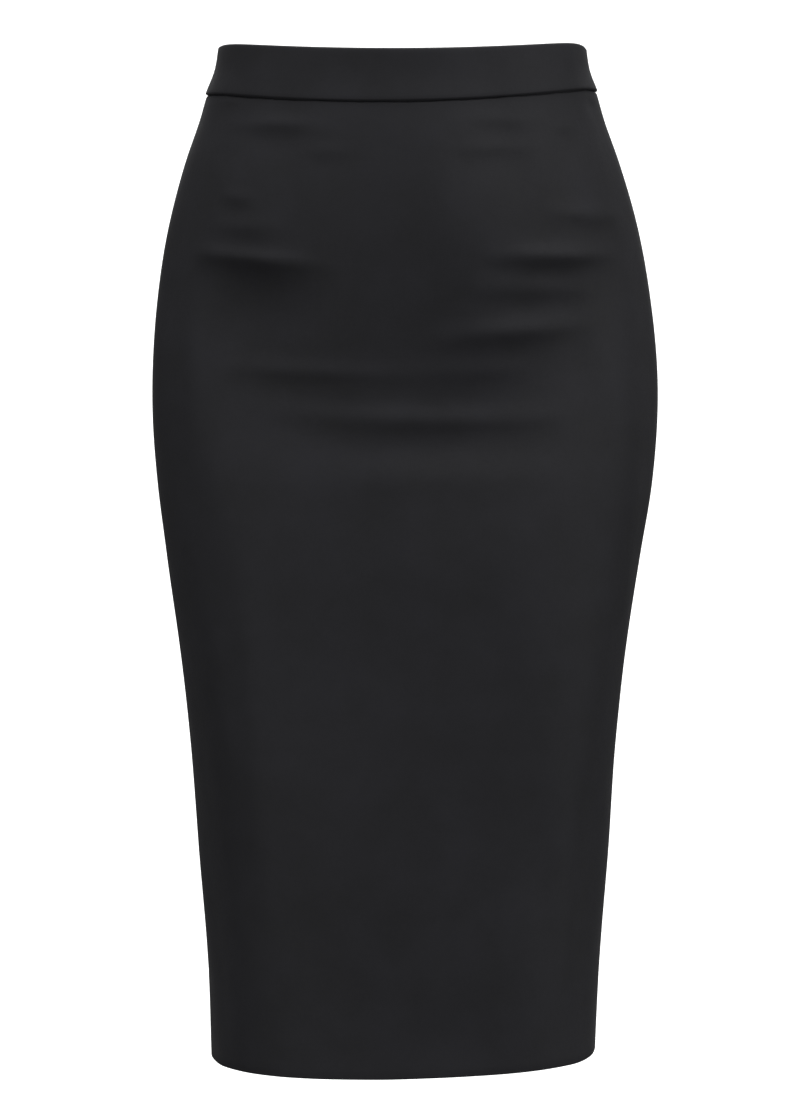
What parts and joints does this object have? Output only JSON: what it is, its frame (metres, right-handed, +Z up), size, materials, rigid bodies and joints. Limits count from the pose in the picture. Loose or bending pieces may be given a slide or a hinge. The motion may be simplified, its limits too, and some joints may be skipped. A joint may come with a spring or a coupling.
{
  "type": "pencil skirt",
  "caption": "Knee-length pencil skirt in its hollow worn form, with a contoured waistband, a concealed centre-back zip and a back slit.",
  "frame": {"origin": "centre of the waist, level with the middle of the waistband at centre front, where the wearer's waist holds the skirt", "axes": "+Z up, the front faces -Y, +X to the wearer's left"},
  "size_m": [0.3496, 0.2355, 0.7039],
  "materials": {
    "skirt_cloth": "matt black stretch twill, smooth face",
    "waistband_cloth": "the same black twill, folded double",
    "zip_tape": "black woven zip tape",
    "zip_metal": "black enamel, semi-gloss"
  },
  "bodies": {
    "skirt": {"front_panel": "skirt_cloth", "back_panel_left": "skirt_cloth", "back_panel_right": "skirt_cloth", "waistband_front": "waistband_cloth", "waistband_back_left": "waistband_cloth", "waistband_back_right": "waistband_cloth", "zip_tape_left": "zip_tape", "zip_tape_right": "zip_tape", "zip_slider": "zip_metal"},
    "zip_pull": {"zip_pull": "zip_metal"}
  },
  "joints": [
    {"name": "zip_pull_flip", "type": "hinge", "parent": "skirt", "child": "zip_pull", "pos_m": [0, 0.09971, 0.00133], "axis": [1, 0, 0], "range_deg": [0, 165]}
  ]
}
